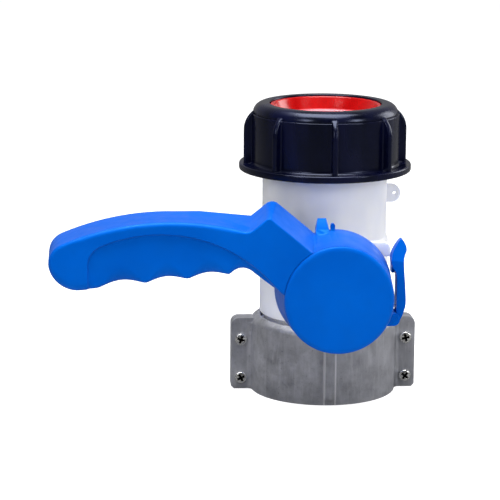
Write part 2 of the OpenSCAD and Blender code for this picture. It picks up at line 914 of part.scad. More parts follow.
// Lever in one moulding: drum, neck and grip, open at the back, with ribs
module handle() {
    color("royalblue") difference() {
        union() {
            from_axis(lever_rear) cylinder(r1 = drum_r, r2 = drum_front_r, h = cover_seat - lever_rear);
            from_axis(lever_rear) difference() {
                lever_form();
                difference() {
                    lever_cells();
                    translate([0, 0, grip_rib_down]) linear_extrude(lever_depth) grip_ribs();
                }
                translate([0, 0, lever_depth - panel_step]) linear_extrude(panel_step + cut)
                    panel_outline();
            }
            rim_tabs();
            latch_ears();
        }
        from_axis(web_front) cylinder(r = recess_r, h = lever_depth);
        from_axis(cover_seat) cylinder(r = cover_r + cover_gap, h = lever_depth);
        drum_hollow();
        from_axis(hub_boss_rear - cut) translate([-drive_hole / 2, -drive_hole / 2, 0])
            cube([drive_hole, drive_hole, lever_depth]);
        from_axis(latch_rear - latch_side) linear_extrude(latch_t + 2 * latch_side)
            translate([latch_x, latch_z]) circle(r = knuckle_r + loose);
        from_axis(latch_rear - latch_side - stub_l - snug)
            translate([latch_x, latch_z, 0])
                cylinder(r = stub_r + running_gap, h = latch_t + 2 * (latch_side + stub_l + snug));
    }
}

// Radius of the drum's outside at a reach
function drum_at(reach) =
    drum_r + (drum_front_r - drum_r) * (reach - lever_rear) / (cover_seat - lever_rear);

// Space behind the drum's web, around the boss and between the ribs
module drum_hollow() {
    web_rear = web_front - drum_web_t;
    from_r = drum_at(lever_rear - cut) - lever_wall;
    difference() {
        from_axis(lever_rear - cut)
            cylinder(r1 = from_r, r2 = drum_at(web_rear) - lever_wall, h = web_rear - lever_rear + cut);
        from_axis(hub_boss_rear) cylinder(r = hub_boss_r, h = lever_depth);
        for (i = [0 : drum_ribs - 1])
            from_axis(plate_front + stop_h + loose) rotate(i * 360 / drum_ribs)
                translate([0, -rib_t / 2, 0]) cube([drum_r, rib_t, lever_depth]);
        from_axis(lever_rear + loose) translate([-drum_r, -rib_t - loose / 2, 0])
            cube([drum_r - stop_r + 2 * stop_t, rib_t, lever_depth]);
    }
}

// Tab with a ramp, and a peg beside it, on the rim behind the drum
module rim_tabs() {
    tab_z = drum_r + tab_rise;
    intersection() {
        from_axis(lever_rear) linear_extrude(2 * tab_ramp) polygon([
            [tab_x - tab_w / 2, drum_bore_r], [tab_x + tab_w / 2, drum_bore_r],
            [tab_x + tab_w / 2, tab_z],
            [tab_x + tab_top_w / 2, tab_z + tab_ramp], [tab_x - tab_top_w / 2, tab_z + tab_ramp],
            [tab_x - tab_w / 2, tab_z]
        ]);
        translate([-span / 2, -lever_rear, hub_z]) rotate([90, 0, 90]) linear_extrude(span) polygon([
            [0, 0], [-tab_ramp, 0], [-tab_ramp, tab_z], [0, tab_z + tab_ramp]
        ]);
    }
    from_axis(lever_rear) linear_extrude(peg_t) {
        translate([peg_x - peg_w / 2, drum_bore_r])
            square([peg_w, drum_r + peg_rise - drum_bore_r - peg_w / 2]);
        translate([peg_x, drum_r + peg_rise - peg_w / 2]) circle(r = peg_w / 2);
    }
}

// Two ears on the drum that hold the latch's stubs
module latch_ears() {
    rear_ear = latch_rear - latch_side - stub_l;
    wide = latch_t + 2 * (latch_side + stub_l);
    from_axis(rear_ear) linear_extrude(wide) {
        translate([latch_x, latch_z]) circle(r = knuckle_r);
        polygon([
            [0, latch_z - knuckle_r], [latch_x, latch_z - knuckle_r],
            [latch_x, latch_z + knuckle_r], [0, latch_z + knuckle_r]
        ]);
    }
}

module handle_washer() {
    color("silver") difference() {
        shaft(m5_washer_r, web_front, web_front + m5_washer_t);
        shaft(m5_r + screw_play, web_front - cut, web_front + m5_washer_t + cut);
    }
}

// Screw that pulls the lever onto the stem's square
module handle_screw() {
    head = web_front + m5_washer_t;
    color("silver") difference() {
        union() {
            shaft(m5_r, drive_end - m5_len + screw_tip, head + snug);
            from_axis(head) pan_head(m5_head_r, m5_head_h);
        }
        from_axis(head + m5_head_h / 2) cross_recess(m5_head_r, m5_r / 3, m5_head_h);
    }
}

// Round cover pressed into the drum's front
module hub_cover() {
    color("royalblue") from_axis(cover_seat) {
        rotate_extrude() {
            square([cover_r, cover_t - cover_round]);
            square([cover_r - cover_round, cover_t]);
            intersection() {
                translate([cover_r - cover_round, cover_t - cover_round]) circle(r = cover_round);
                square([cover_r, cover_t]);
            }
        }
        translate([0, 0, -skirt_h]) difference() {
            cylinder(r = recess_r - snug, h = skirt_h + snug);
            translate([0, 0, -cut]) cylinder(r = recess_r - skirt_t, h = skirt_h + cut);
        }
    }
}

// Latch: a bent tongue with a nose, on a knuckle with two stubs
module lock_latch() {
    color("royalblue") difference() {
        union() {
            from_axis(latch_rear) linear_extrude(latch_t) tongue_outline();
            from_axis(hook_rear) linear_extrude(latch_rear - hook_rear + snug) hook_outline();
            from_axis(latch_rear - latch_side - stub_l) translate([latch_x, latch_z, 0])
                cylinder(r = stub_r, h = latch_t + 2 * (latch_side + stub_l));
        }
        pad_lean_cut();
    }
}

// The finger pad leans back above the waist
module pad_lean_cut() {
    translate([-span / 2, -latch_front, hub_z]) rotate([90, 0, 90]) linear_extrude(span) polygon([
        [-cut, pad_low], [0, pad_low], [pad_lean, tongue_top + cut], [-cut, tongue_top + cut]
    ]);
}

// Point and smooth closed line through points: each stretch is a cubic that leans on its neighbours
function on_curve(a, b, c, d, t) =
    (2 * b + (c - a) * t + (2 * a - 5 * b + 4 * c - d) * t * t + (3 * b - a - 3 * c + d) * t * t * t) / 2;
function smooth_line(points, steps) = let (n = len(points)) [
    for (i = [0 : n - 1], k = [0 : steps - 1])
        on_curve(points[(i + n - 1) % n], points[i], points[(i + 1) % n], points[(i + 2) % n], k / steps)
];

// Tongue seen from the front, up the outside and down the inside: bend, bar, waist, tip and belly
module tongue_outline() {
    in_x = drum_r + tongue_in;
    out_x = in_x + tongue_t;
    root_z = latch_z - knuckle_r;
    translate([latch_x, latch_z]) circle(r = knuckle_r);
    polygon(smooth_line([
        [latch_x, root_z], [(latch_x + out_x) / 2, root_z + root_r / 6],
        [out_x, root_z + root_r], [out_x, 0], [out_x - waist_in, waist_z],
        [out_x + waist_in / 2, tongue_top - tip_w - tip_in], [out_x - tip_in / 2, tongue_top - tip_in / 2],
        [out_x - tip_w, tongue_top - tip_in / 2], [in_x - belly_in, belly_z + tip_w],
        [in_x - belly_in, belly_z - tip_w], [in_x, nose_low], [in_x, root_z + root_r],
        [latch_x + stub_r, latch_z + stub_r], [latch_x - stub_r, latch_z]
    ], tongue_steps));
}

// The nose reaches back beside the plate, between the catch and the detent
module hook_outline() {
    in_x = catch_x + loose;
    out_x = drum_r + tongue_in + tongue_t / 2;
    polygon([[in_x, nose_low], [out_x, nose_low], [out_x, nose_high], [in_x, nose_high]]);
}

// Flat seal between the plug and the end of the neck
module cap_gasket() {
    color("dimgray") translate([0, 0, neck_top]) difference() {
        cylinder(r = nut_bore_r - 2 * plug_gap, h = gasket_t);
        translate([0, 0, -cut]) cylinder(r = bore_r + plug_gap, h = gasket_t + 2 * cut);
    }
}

// Red plug: a flange under the nut's ring, a rim in its opening and a dish
module cap_plug() {
    rim_r = nut_mouth_d / 2 - plug_gap;
    top_z = ring_z + rim_proud;
    floor_z = top_z - dish_depth;
    skirt_r = min(bore_r - loose, rim_r);
    color("red") rotate_extrude() polygon([
        [0, floor_z - plug_wall], [skirt_r, floor_z - plug_wall], [skirt_r, plug_flange_z],
        [nut_bore_r - plug_gap, plug_flange_z], [nut_bore_r - plug_gap, plug_flange_z + plug_flange_t],
        [rim_r, plug_flange_z + plug_flange_t], [rim_r, top_z], [rim_r - dish_rim, top_z],
        [skirt_r - plug_wall - dish_draft, floor_z], [0, floor_z]
    ]);
}

// Cap nut: a ribbed ring with a flanged foot and a domed shoulder
module cap_nut() {
    color([0.06, 0.06, 0.1]) {
        translate([0, 0, nut_z]) rotate_extrude() nut_section();
        for (i = [0 : rib_count - 1]) rotate((i + rib_turn_share) * 360 / rib_count)
            translate([0, rib_w / 2, nut_z]) rotate([90, 0, 0]) linear_extrude(rib_w) rib_outline();
    }
}

// Section of the nut: bore, top ring, domed shoulder and flanged foot
module nut_section() {
    dome_x = nut_r - crease - dome_r;
    mouth = nut_mouth_d / 2;
    difference() {
        union() {
            translate([mouth, 0]) square([nut_r - mouth, nut_h - dome_r]);
            translate([mouth, 0]) square([dome_x - mouth, nut_h]);
            translate([dome_x, nut_h - dome_r]) circle(r = dome_r);
            polygon([
                [nut_bore_r, 0], [nut_flange_r - foot_bevel, 0], [nut_flange_r, foot_bevel],
                [nut_flange_r, nut_flange_t - foot_bevel], [nut_flange_r - foot_bevel, nut_flange_t],
                [nut_r + rib_h / 2, nut_flange_t - foot_bevel / 2], [nut_r, nut_flange_t + foot_bevel],
                [nut_bore_r, nut_flange_t]
            ]);
        }
        translate([0, -cut]) square([nut_bore_r, nut_h - nut_ring_t + cut]);
        square([mouth, nut_h + cut]);
    }
}

// Rib in its radial plane: straight at the foot, curved in at the shoulder
module rib_outline() {
    out_x = nut_r + rib_h;
    in_x = nut_r - nut_wall / 2;
    top = nut_h - rib_top;
    rise = sqrt(pow(rib_arc_r, 2) - pow(rib_arc_r - rib_h - crease, 2));
    arc_foot = top - rise;
    translate([in_x, nut_flange_t / 2]) square([out_x - in_x, arc_foot - nut_flange_t / 2]);
    intersection() {
        translate([out_x - rib_arc_r, arc_foot]) circle(r = rib_arc_r);
        translate([in_x, arc_foot - cut]) square([rib_arc_r, top - arc_foot + cut]);
    }
}

valve_body();
inlet_gasket();
clamp_front();
clamp_rear();
clamp_screws();
clamp_nuts();
stem();
stem_o_rings();
thrust_washer();
stem_circlip();
disc();
disc_pin();
disc_seal();
handle();
handle_washer();
handle_screw();
hub_cover();
lock_latch();
cap_gasket();
cap_plug();
cap_nut();
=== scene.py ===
"""Looks of a butterfly valve for a tank outlet: finishes, moulded edges, threads, light and camera.

Sizes are in millimetres and are turned to metres where a mesh or a node takes them. The frame is the
part's own: the clamp's foot at zero, +Z to the outlet cap, and the lever's drum towards -Y.
"""

import json
import math

import bmesh
import bpy
import numpy as np
from mathutils import Matrix, Vector


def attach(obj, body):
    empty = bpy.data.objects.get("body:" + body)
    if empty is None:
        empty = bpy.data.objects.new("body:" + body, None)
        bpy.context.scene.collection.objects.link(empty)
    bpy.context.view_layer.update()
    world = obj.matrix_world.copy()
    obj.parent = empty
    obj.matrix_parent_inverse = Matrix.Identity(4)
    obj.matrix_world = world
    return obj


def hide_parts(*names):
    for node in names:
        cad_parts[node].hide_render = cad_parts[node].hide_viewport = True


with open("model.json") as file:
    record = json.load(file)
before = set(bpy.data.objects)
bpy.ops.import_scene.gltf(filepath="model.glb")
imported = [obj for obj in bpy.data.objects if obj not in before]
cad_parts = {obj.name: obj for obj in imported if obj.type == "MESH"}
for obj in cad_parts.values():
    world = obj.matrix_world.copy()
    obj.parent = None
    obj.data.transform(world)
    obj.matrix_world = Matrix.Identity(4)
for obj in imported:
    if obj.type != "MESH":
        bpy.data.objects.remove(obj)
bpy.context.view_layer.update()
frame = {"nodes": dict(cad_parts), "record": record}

MM = 0.001

# Camera, as fitted to the photograph's circles
VIEW_AZIMUTH = -4.19
VIEW_ELEVATION = 12.37
VIEW_ROLL = 0.38
VIEW_DISTANCE = 1000.2
VIEW_TARGET = (-33.46, 0, 63.82)
FOCAL_PIXELS = 2212.8
FRAME_PIXELS = 500
SENSOR = 36

# Sizes that the pieces below share with the solids: housing and threads
HUB_Z = 56
NECK_R = 28
THREAD_R = 30
THREAD_PITCH = 6
# Cap nut: its foot's height, bore, thread crest, wall, flange and ribs
NUT_Z = 101.1
NUT_BORE_R = 30.3
NUT_THREAD_R = 28.5
NUT_R = 33
NUT_FLANGE_R = 38.6
NUT_RIBS = 8
NUT_RIB_SHARE = 0.2
# The nut is drawn turned by this angle when it rests, as it sits in the photograph
NUT_REST = -7.9
# Clamp: half the width of the strip down its front, and where the strip begins
STRIP_HALF = 2.5
STRIP_Y = -20
# Lever: rear and front of its depth, length from the hub, and the grip's top over the hub
LEVER_REAR = 40.7
LEVER_FRONT = 66
LEVER_L = 123.3
GRIP_TOP = 34.3


def linear(hex_colour):
    """An sRGB colour such as "#0058cc" as linear red, green, blue and alpha."""
    parts = (int(hex_colour[i:i + 2], 16) / 255 for i in (1, 3, 5))
    return (*(c / 12.92 if c <= 0.04045 else ((c + 0.055) / 1.055) ** 2.4 for c in parts), 1)


def add(tree, kind, inputs=None, **settings):
    """Adds a node, sets its settings, and links or sets its inputs by name or index."""
    node = tree.nodes.new(kind)
    for name, value in settings.items():
        setattr(node, name, value)
    for key, value in (inputs or {}).items():
        if isinstance(value, bpy.types.NodeSocket):
            tree.links.new(value, node.inputs[key])
        else:
            node.inputs[key].default_value = value
    return node


def new_material(name, slot):
    """An empty material with a shader and an output, and the object's own coordinates."""
    material = bpy.data.materials.new(name)
    material.use_nodes = True
    tree = material.node_tree
    tree.nodes.clear()
    shader = add(tree, "ShaderNodeBsdfPrincipled")
    add(tree, "ShaderNodeOutputMaterial", {"Surface": shader.outputs["BSDF"]})
    place = add(tree, "ShaderNodeTexCoord").outputs["Object"]
    material["slot"] = slot
    return material, tree, shader, place


def noise(tree, place, size_mm, detail=2.0, roughness=0.5, stretch=(1, 1, 1)):
    """Noise whose blots are about size_mm across, stretched along an axis where a share is below 1."""
    spot = add(tree, "ShaderNodeMapping", {"Vector": place, "Scale": stretch}).outputs["Vector"]
    return add(tree, "ShaderNodeTexNoise", {
        "Vector": spot, "Scale": 1 / (size_mm * MM), "Detail": detail, "Roughness": roughness,
    }).outputs["Fac"]


def between(tree, factor, low, high, to_low, to_high):
    """A factor's stretch from low to high, laid on the stretch from to_low to to_high."""
    return add(tree, "ShaderNodeMapRange", {
        "Value": factor, "From Min": low, "From Max": high, "To Min": to_low, "To Max": to_high,
    }).outputs["Result"]


def blend(tree, factor, first, second):
    """Two colours mixed by a factor; each is a socket or an sRGB hex value."""
    node = add(tree, "ShaderNodeMix", data_type="RGBA")
    node.inputs["Factor"].default_value = 1
    for index, value in ((0, factor), (6, first), (7, second)):
        if isinstance(value, bpy.types.NodeSocket):
            tree.links.new(value, node.inputs[index])
        else:
            node.inputs[index].default_value = linear(value) if isinstance(value, str) else value
    return node.outputs[2]


def bump(tree, height, depth_mm, strength=1.0, below=None):
    """A bump of a real depth in millimetres, laid over another one if given."""
    node = add(tree, "ShaderNodeBump", {"Height": height, "Distance": depth_mm * MM, "Strength": strength})
    if below is not None:
        tree.links.new(below, node.inputs["Normal"])
    return node.outputs["Normal"]


def milky_polyethylene():
    """Natural high-density polyethylene, moulded: milky, with light under its skin and faint flow."""
    material, tree, shader, place = new_material("natural_polyethylene_moulded", "milky_polyethylene")
    flow = noise(tree, place, 26, 3, 0.55, (1, 1, 0.35))
    haze = noise(tree, place, 9, 2)
    tone = blend(tree, between(tree, flow, 0.3, 0.7, 0, 1), "#d6daee", "#f0f1f8")
    tone = blend(tree, between(tree, haze, 0.35, 0.75, 0, 0.25), tone, "#e0e3f0")
    shader.inputs["IOR"].default_value = 1.54
    shader.inputs["Subsurface Weight"].default_value = 0.6
    shader.inputs["Subsurface Scale"].default_value = 5 * MM
    shader.inputs["Subsurface Radius"].default_value = (0.9, 0.95, 1.2)
    tree.links.new(tone, shader.inputs["Base Color"])
    tree.links.new(between(tree, haze, 0.3, 0.7, 0.34, 0.46), shader.inputs["Roughness"])
    grain = bump(tree, noise(tree, place, 0.7, 2), 0.012)
    tree.links.new(bump(tree, flow, 0.25, 0.6, grain), shader.inputs["Normal"])
    return material


def blue_polypropylene():
    """Blue polypropylene, moulded in a fine eroded mould: satin with a cool sheen, grain and flow."""
    material, tree, shader, place = new_material("blue_polypropylene_moulded", "blue_polypropylene")
    flow = noise(tree, place, 34, 3)
    cloud = noise(tree, place, 6, 2)
    tone = blend(tree, between(tree, flow, 0.3, 0.7, 0, 1), "#004eb4", "#0056c0")
    tone = blend(tree, between(tree, cloud, 0.45, 0.8, 0, 0.3), tone, "#0350b0")
    shader.inputs["IOR"].default_value = 1.49
    shader.inputs["Specular IOR Level"].default_value = 0.45
    shader.inputs["Specular Tint"].default_value = (0.0, 0.5, 1.0, 1.0)
    tree.links.new(tone, shader.inputs["Base Color"])
    tree.links.new(between(tree, cloud, 0.3, 0.7, 0.36, 0.5), shader.inputs["Roughness"])
    # The eroded grain is 0.1 mm on the real part and is drawn 0.5 mm wide so that it shows
    grain = bump(tree, noise(tree, place, 0.5, 3, 0.6), 0.014)
    tree.links.new(bump(tree, flow, 0.12, 0.5, grain), shader.inputs["Normal"])
    return material


def black_polypropylene():
    """Blue-black polypropylene, moulded glossy: dark, with soft flow marks and a little dust."""
    material, tree, shader, place = new_material("black_polypropylene_glossy", "black_polypropylene")
    flow = noise(tree, place, 12, 3, 0.5, (1, 1, 0.3))
    dust = noise(tree, place, 0.8, 3, 0.7)
    tone = blend(tree, between(tree, flow, 0.35, 0.7, 0, 1), "#00010e", "#030524")
    tone = blend(tree, between(tree, dust, 0.66, 0.8, 0, 0.25), tone, "#3a4058")
    shader.inputs["IOR"].default_value = 1.49
    shader.inputs["Specular IOR Level"].default_value = 0.42
    shader.inputs["Specular Tint"].default_value = (0.62, 0.7, 1.0, 1.0)
    tree.links.new(tone, shader.inputs["Base Color"])
    tree.links.new(between(tree, flow, 0.3, 0.7, 0.2, 0.32), shader.inputs["Roughness"])
    grain = bump(tree, noise(tree, place, 0.6, 2), 0.006)
    tree.links.new(bump(tree, flow, 0.12, 0.6, grain), shader.inputs["Normal"])
    return material


def red_polypropylene():
    """Red polypropylene, moulded glossy: a clear red with light just under its skin."""
    material, tree, shader, place = new_material("red_polypropylene_glossy", "red_polypropylene")
    flow = noise(tree, place, 10, 2)
    tone = blend(tree, between(tree, flow, 0.3, 0.7, 0, 1), "#900102", "#a40303")
    # Painted light: the dish's floor is thin and lies on air, and it is painted paler than the walls for the
    # light that falls on it and comes through it
    height = add(tree, "ShaderNodeSeparateXYZ", {0: place}).outputs["Z"]
    tone = blend(tree, between(tree, height, 125.2 * MM, 124.4 * MM, 0, 0.9), tone, "#fb8590")
    shader.inputs["IOR"].default_value = 1.49
    shader.inputs["Subsurface Weight"].default_value = 0.15
    shader.inputs["Subsurface Scale"].default_value = 1.5 * MM
    tree.links.new(tone, shader.inputs["Base Color"])
    tree.links.new(between(tree, flow, 0.3, 0.7, 0.16, 0.26), shader.inputs["Roughness"])
    tree.links.new(bump(tree, flow, 0.1, 0.5), shader.inputs["Normal"])
    return material


def cast_aluminium():
    """Aluminium, die cast and tumbled: dull grey with blotches, fine pits and upright draw marks."""
    material, tree, shader, place = new_material("aluminium_die_cast", "cast_aluminium")
    blotch = noise(tree, place, 7, 4, 0.6)
    cloud = noise(tree, place, 22, 3, 0.55, (1, 1, 0.4))
    draw = noise(tree, place, 1.6, 3, 0.6, (1, 1, 0.12))
    pits = noise(tree, place, 0.9, 2, 0.7)
    tone = blend(tree, between(tree, blotch, 0.3, 0.7, 0, 1), "#96979e", "#c6c7ce")
    tone = blend(tree, between(tree, cloud, 0.35, 0.7, 0, 0.6), tone, "#a0a1a8")
    tone = blend(tree, between(tree, draw, 0.5, 0.8, 0, 0.35), tone, "#dcdde2")
    tone = blend(tree, between(tree, pits, 0.62, 0.76, 0, 0.5), tone, "#66676b")
    # Painted highlight: the two edges of the strip down the front stand proud, and a bright line is painted
    # along each of them
    where = add(tree, "ShaderNodeSeparateXYZ", {0: place}).outputs
    side = add(tree, "ShaderNodeMath", {0: where["X"]}, operation="ABSOLUTE").outputs[0]
    off = add(tree, "ShaderNodeMath", {0: side, 1: STRIP_HALF * MM}, operation="SUBTRACT").outputs[0]
    off = add(tree, "ShaderNodeMath", {0: off}, operation="ABSOLUTE").outputs[0]
    near = between(tree, off, 0.25 * MM, 0.6 * MM, 0.7, 0)
    front = between(tree, where["Y"], STRIP_Y * MM, (STRIP_Y - 1) * MM, 0, 1)
    strip_edge_highlight = add(tree, "ShaderNodeMath", {0: near, 1: front}, operation="MULTIPLY").outputs[0]
    tone = blend(tree, strip_edge_highlight, tone, "#f0f0f4")
    shader.inputs["Metallic"].default_value = 0.8
    tree.links.new(tone, shader.inputs["Base Color"])
    tree.links.new(between(tree, blotch, 0.3, 0.7, 0.42, 0.6), shader.inputs["Roughness"])
    skin = bump(tree, pits, 0.05, 0.7)
    skin = bump(tree, draw, 0.05, 0.7, skin)
    tree.links.new(bump(tree, blotch, 0.2, 0.5, skin), shader.inputs["Normal"])
    return material


def plated_steel():
    """Steel, bright nickel plated: a mirror-like grey with fine wear, and painted shade down in a recess."""
    material, tree, shader, place = new_material("steel_bright_plated", "plated_steel")
    wear = noise(tree, place, 1.2, 3, 0.6)
    tone = blend(tree, between(tree, wear, 0.4, 0.75, 0, 1), "#f6f6f4", "#d6d5d2")
    # Painted shade down in the cross recess, by the screw's own attribute
    recess = add(tree, "ShaderNodeAttribute", attribute_name="recess").outputs["Fac"]
    tone = blend(tree, recess, tone, "#161617")
    shader.inputs["Metallic"].default_value = 1
    tree.links.new(tone, shader.inputs["Base Color"])
    tree.links.new(between(tree, wear, 0.3, 0.7, 0.16, 0.32), shader.inputs["Roughness"])
    tree.links.new(bump(tree, wear, 0.01), shader.inputs["Normal"])
    return material


def white_nylon():
    """Nylon, moulded and turned: off-white and waxy."""
    material, tree, shader, place = new_material("nylon_moulded", "white_nylon")
    cloud = noise(tree, place, 5, 2)
    tone = blend(tree, between(tree, cloud, 0.3, 0.7, 0, 1), "#e9e7df", "#f2f1ec")
    shader.inputs["Subsurface Weight"].default_value = 0.2
    shader.inputs["Subsurface Scale"].default_value = 2 * MM
    tree.links.new(tone, shader.inputs["Base Color"])
    tree.links.new(between(tree, cloud, 0.3, 0.7, 0.38, 0.5), shader.inputs["Roughness"])
    tree.links.new(bump(tree, noise(tree, place, 0.8, 2), 0.01), shader.inputs["Normal"])
    return material


def seal_rubber():
    """Nitrile rubber, moulded: black, matt and faintly dusty."""
    material, tree, shader, place = new_material("nitrile_rubber_moulded", "seal_rubber")
    dust = noise(tree, place, 1.5, 3, 0.6)
    tone = blend(tree, between(tree, dust, 0.4, 0.8, 0, 1), "#17181a", "#303235")
    tree.links.new(tone, shader.inputs["Base Color"])
    tree.links.new(between(tree, dust, 0.3, 0.7, 0.55, 0.75), shader.inputs["Roughness"])
    tree.links.new(bump(tree, dust, 0.02), shader.inputs["Normal"])
    return material


MATERIALS = {material["slot"]: material for material in (
    milky_polyethylene(), blue_polypropylene(), black_polypropylene(), red_polypropylene(),
    cast_aluminium(), plated_steel(), white_nylon(), seal_rubber(),
)}


def dress(obj, slot):
    """Gives an object one material and drops those that it came with."""
    obj.data.materials.clear()
    obj.data.materials.append(MATERIALS[slot])


for row in frame["record"]["subparts"]:
    dress(frame["nodes"][row["node"]], row["material_slot"])


def show(name, mesh, slot, body, replaced=()):
    """Shows a mesh as a piece of one body, in a slot's finish, in place of the nodes it stands for."""
    obj = bpy.data.objects.new(name, mesh)
    bpy.context.scene.collection.objects.link(obj)
    dress(obj, slot)
    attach(obj, body)
    if replaced:
        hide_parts(*replaced)
    return obj


def surface(name, points, faces):
    """A mesh from points in millimetres and faces; points that coincide are joined."""
    mesh = bpy.data.meshes.new(name)
    mesh.from_pydata((np.asarray(points, float) * MM).tolist(), [], faces)
    joined = bmesh.new()
    joined.from_mesh(mesh)
    bmesh.ops.remove_doubles(joined, verts=joined.verts, dist=0.0005 * MM)
    bmesh.ops.recalc_face_normals(joined, faces=joined.faces)
    joined.to_mesh(mesh)
    joined.free()
    return mesh


def grid(rows, columns, first=0, round_=False):
    """Quads of a grid of points laid row after row; round_ joins the last column to the first."""
    across = np.arange(columns if round_ else columns - 1)
    r, c = np.meshgrid(np.arange(rows - 1), across, indexing="ij")
    d = (c + 1) % columns
    return (np.stack([r * columns + c, r * columns + d, (r + 1) * columns + d, (r + 1) * columns + c],
                     axis=-1).reshape(-1, 4) + first)


def merged(node):
    """A copy of a node's mesh with its split corners joined and its flat faces cleared of inner edges."""
    mesh = frame["nodes"][node].data.copy()
    joined = bmesh.new()
    joined.from_mesh(mesh)
    bmesh.ops.remove_doubles(joined, verts=joined.verts, dist=0.002 * MM)
    bmesh.ops.dissolve_limit(joined, angle_limit=math.radians(0.4), verts=joined.verts, edges=joined.edges)
    joined.to_mesh(mesh)
    joined.free()
    return mesh


def baked(obj):
    """The object's mesh with its modifiers done; the object goes."""
    mesh = bpy.data.meshes.new_from_object(obj.evaluated_get(bpy.context.evaluated_depsgraph_get()))
    bpy.data.objects.remove(obj)
    return mesh


def without(mesh, taken):
    """One closed mesh less another."""
    pair = [bpy.data.objects.new("solid", mesh), bpy.data.objects.new("taken", taken)]
    for obj in pair:
        bpy.context.scene.collection.objects.link(obj)
    cut = pair[0].modifiers.new("cut", "BOOLEAN")
    cut.operation, cut.solver, cut.object = "DIFFERENCE", "EXACT", pair[1]
    result = baked(pair[0])
    bpy.data.objects.remove(pair[1])
    return result


def softened(mesh, width_mm):
    """A mesh whose edges over 35 degrees have a small round."""
    obj = bpy.data.objects.new("hard", mesh)
    bpy.context.scene.collection.objects.link(obj)
    edge = obj.modifiers.new("round", "BEVEL")
    edge.width, edge.segments, edge.limit_method = width_mm * MM, 3, "ANGLE"
    edge.angle_limit, edge.use_clamp_overlap, edge.miter_outer = math.radians(35), True, "MITER_ARC"
    return baked(obj)


# Outline of the lever's front, with the hub at zero: the same lines and circles as the solid has
def sind(a):
    """Sine of degrees."""
    return math.sin(math.radians(a))


def cosd(a):
    """Cosine of degrees."""
    return math.cos(math.radians(a))


BACK = (-0.584 * LEVER_L, GRIP_TOP - 118, 118)
BELLY_SLOPE, NECK_SLOPE, FLANK_SLOPE, THROAT_SLOPE = 5.3, 40, 39, 37
CUSP = (-0.3767 * LEVER_L, GRIP_TOP - 23.3)
PITCH, SCALLOP_R = 17.9, 25
THROAT = (-0.334 * LEVER_L, GRIP_TOP - 27.6, 7)
PEAK = (-0.245 * LEVER_L, GRIP_TOP + 1.9)
PEAK_R, DIP_R = 1.8, 5
HEEL_R, TIP_R = 12.6, 9
PANEL = (-0.62 * LEVER_L, GRIP_TOP - 5.8 - 63, 63)
PANEL_END, PANEL_R = -0.86 * LEVER_L, 8


def belly(x):
    """Height of the line along the finger cusps."""
    return CUSP[1] + (x - CUSP[0]) * math.tan(math.radians(BELLY_SLOPE))


def meet(a, ra, b, rb, side):
    """One of the two points that lie ra from a and rb from b."""
    across = np.subtract(b, a)
    apart = np.hypot(*across)
    along = (ra * ra - rb * rb + apart * apart) / (2 * apart)
    aside = math.sqrt(ra * ra - along * along)
    return np.array(a) + along * across / apart + side * aside * np.array([across[1], -across[0]]) / apart


HEEL = (HEEL_R - LEVER_L, belly(HEEL_R - LEVER_L) + HEEL_R / cosd(BELLY_SLOPE))
TIP = meet(HEEL, HEEL_R - TIP_R, BACK[:2], BACK[2] - TIP_R, 1)
EDGE = np.array(PEAK[:2]) + np.linalg.solve(
    [[sind(FLANK_SLOPE), -cosd(FLANK_SLOPE)], [-sind(NECK_SLOPE), -cosd(NECK_SLOPE)]], [PEAK_R, PEAK_R])
# A point on the line that lies DIP_R over the flank, then the one on it that lies DIP_R over the back
OVER = np.array([PEAK[0] - DIP_R * sind(FLANK_SLOPE), PEAK[1] + DIP_R * cosd(FLANK_SLOPE)])
ALONG = np.array([cosd(FLANK_SLOPE), sind(FLANK_SLOPE)])
REACH = float(np.dot(OVER - BACK[:2], ALONG))
BEYOND = np.sum((OVER - BACK[:2]) ** 2) - (BACK[2] + DIP_R) ** 2
DIP = OVER - (REACH - math.sqrt(REACH ** 2 - BEYOND)) * ALONG


def from_circle(x, z, circle):
    """How far points are inside a circle given as x, z and radius."""
    return circle[2] - np.hypot(x - circle[0], z - circle[1])


def turned(x, z, centre):
    """Direction of points from a centre, 0 to 360 degrees."""
    return np.degrees(np.arctan2(z - centre[1], x - centre[0])) % 360


def end_depth(x, z):
    """Depth inside the back's arc, the tip and the heel."""
    way = turned(x, z, TIP)
    low = turned(*TIP, BACK)
    high = turned(*TIP, HEEL)
    return np.where(way < low, from_circle(x, z, BACK), np.where(
        way > high, from_circle(x, z, (*HEEL, HEEL_R)), from_circle(x, z, (*TIP, TIP_R))))


def upper_depth(x, z):
    """Depth under the upper outline: end and back, dip, flank, rounded peak and neck."""
    flank = (x - PEAK[0]) * sind(FLANK_SLOPE) - (z - PEAK[1]) * cosd(FLANK_SLOPE)
    neck = -(x - PEAK[0]) * sind(NECK_SLOPE) - (z - PEAK[1]) * cosd(NECK_SLOPE)
    way = turned(x, z, EDGE)
    corner = (way > 90 - NECK_SLOPE) & (way < 90 + FLANK_SLOPE)
    peak = np.where(corner, PEAK_R - np.hypot(x - EDGE[0], z - EDGE[1]), np.minimum(flank, neck))
    dip = turned(x, z, DIP)
    left = turned(*BACK[:2], DIP)
    right = 270 + FLANK_SLOPE
    inside = (dip > left) & (dip < right)
    return np.where(inside, np.hypot(x - DIP[0], z - DIP[1]) - DIP_R,
                    np.where(dip <= left, np.where(x < DIP[0], end_depth(x, z), peak), peak))


def low_bound(a, b, width):
    """The smaller of two depths, with the corner between them rounded over a width."""
    share = np.maximum(width - np.abs(a - b), 0) / width
    return np.minimum(a, b) - share * share * width / 4


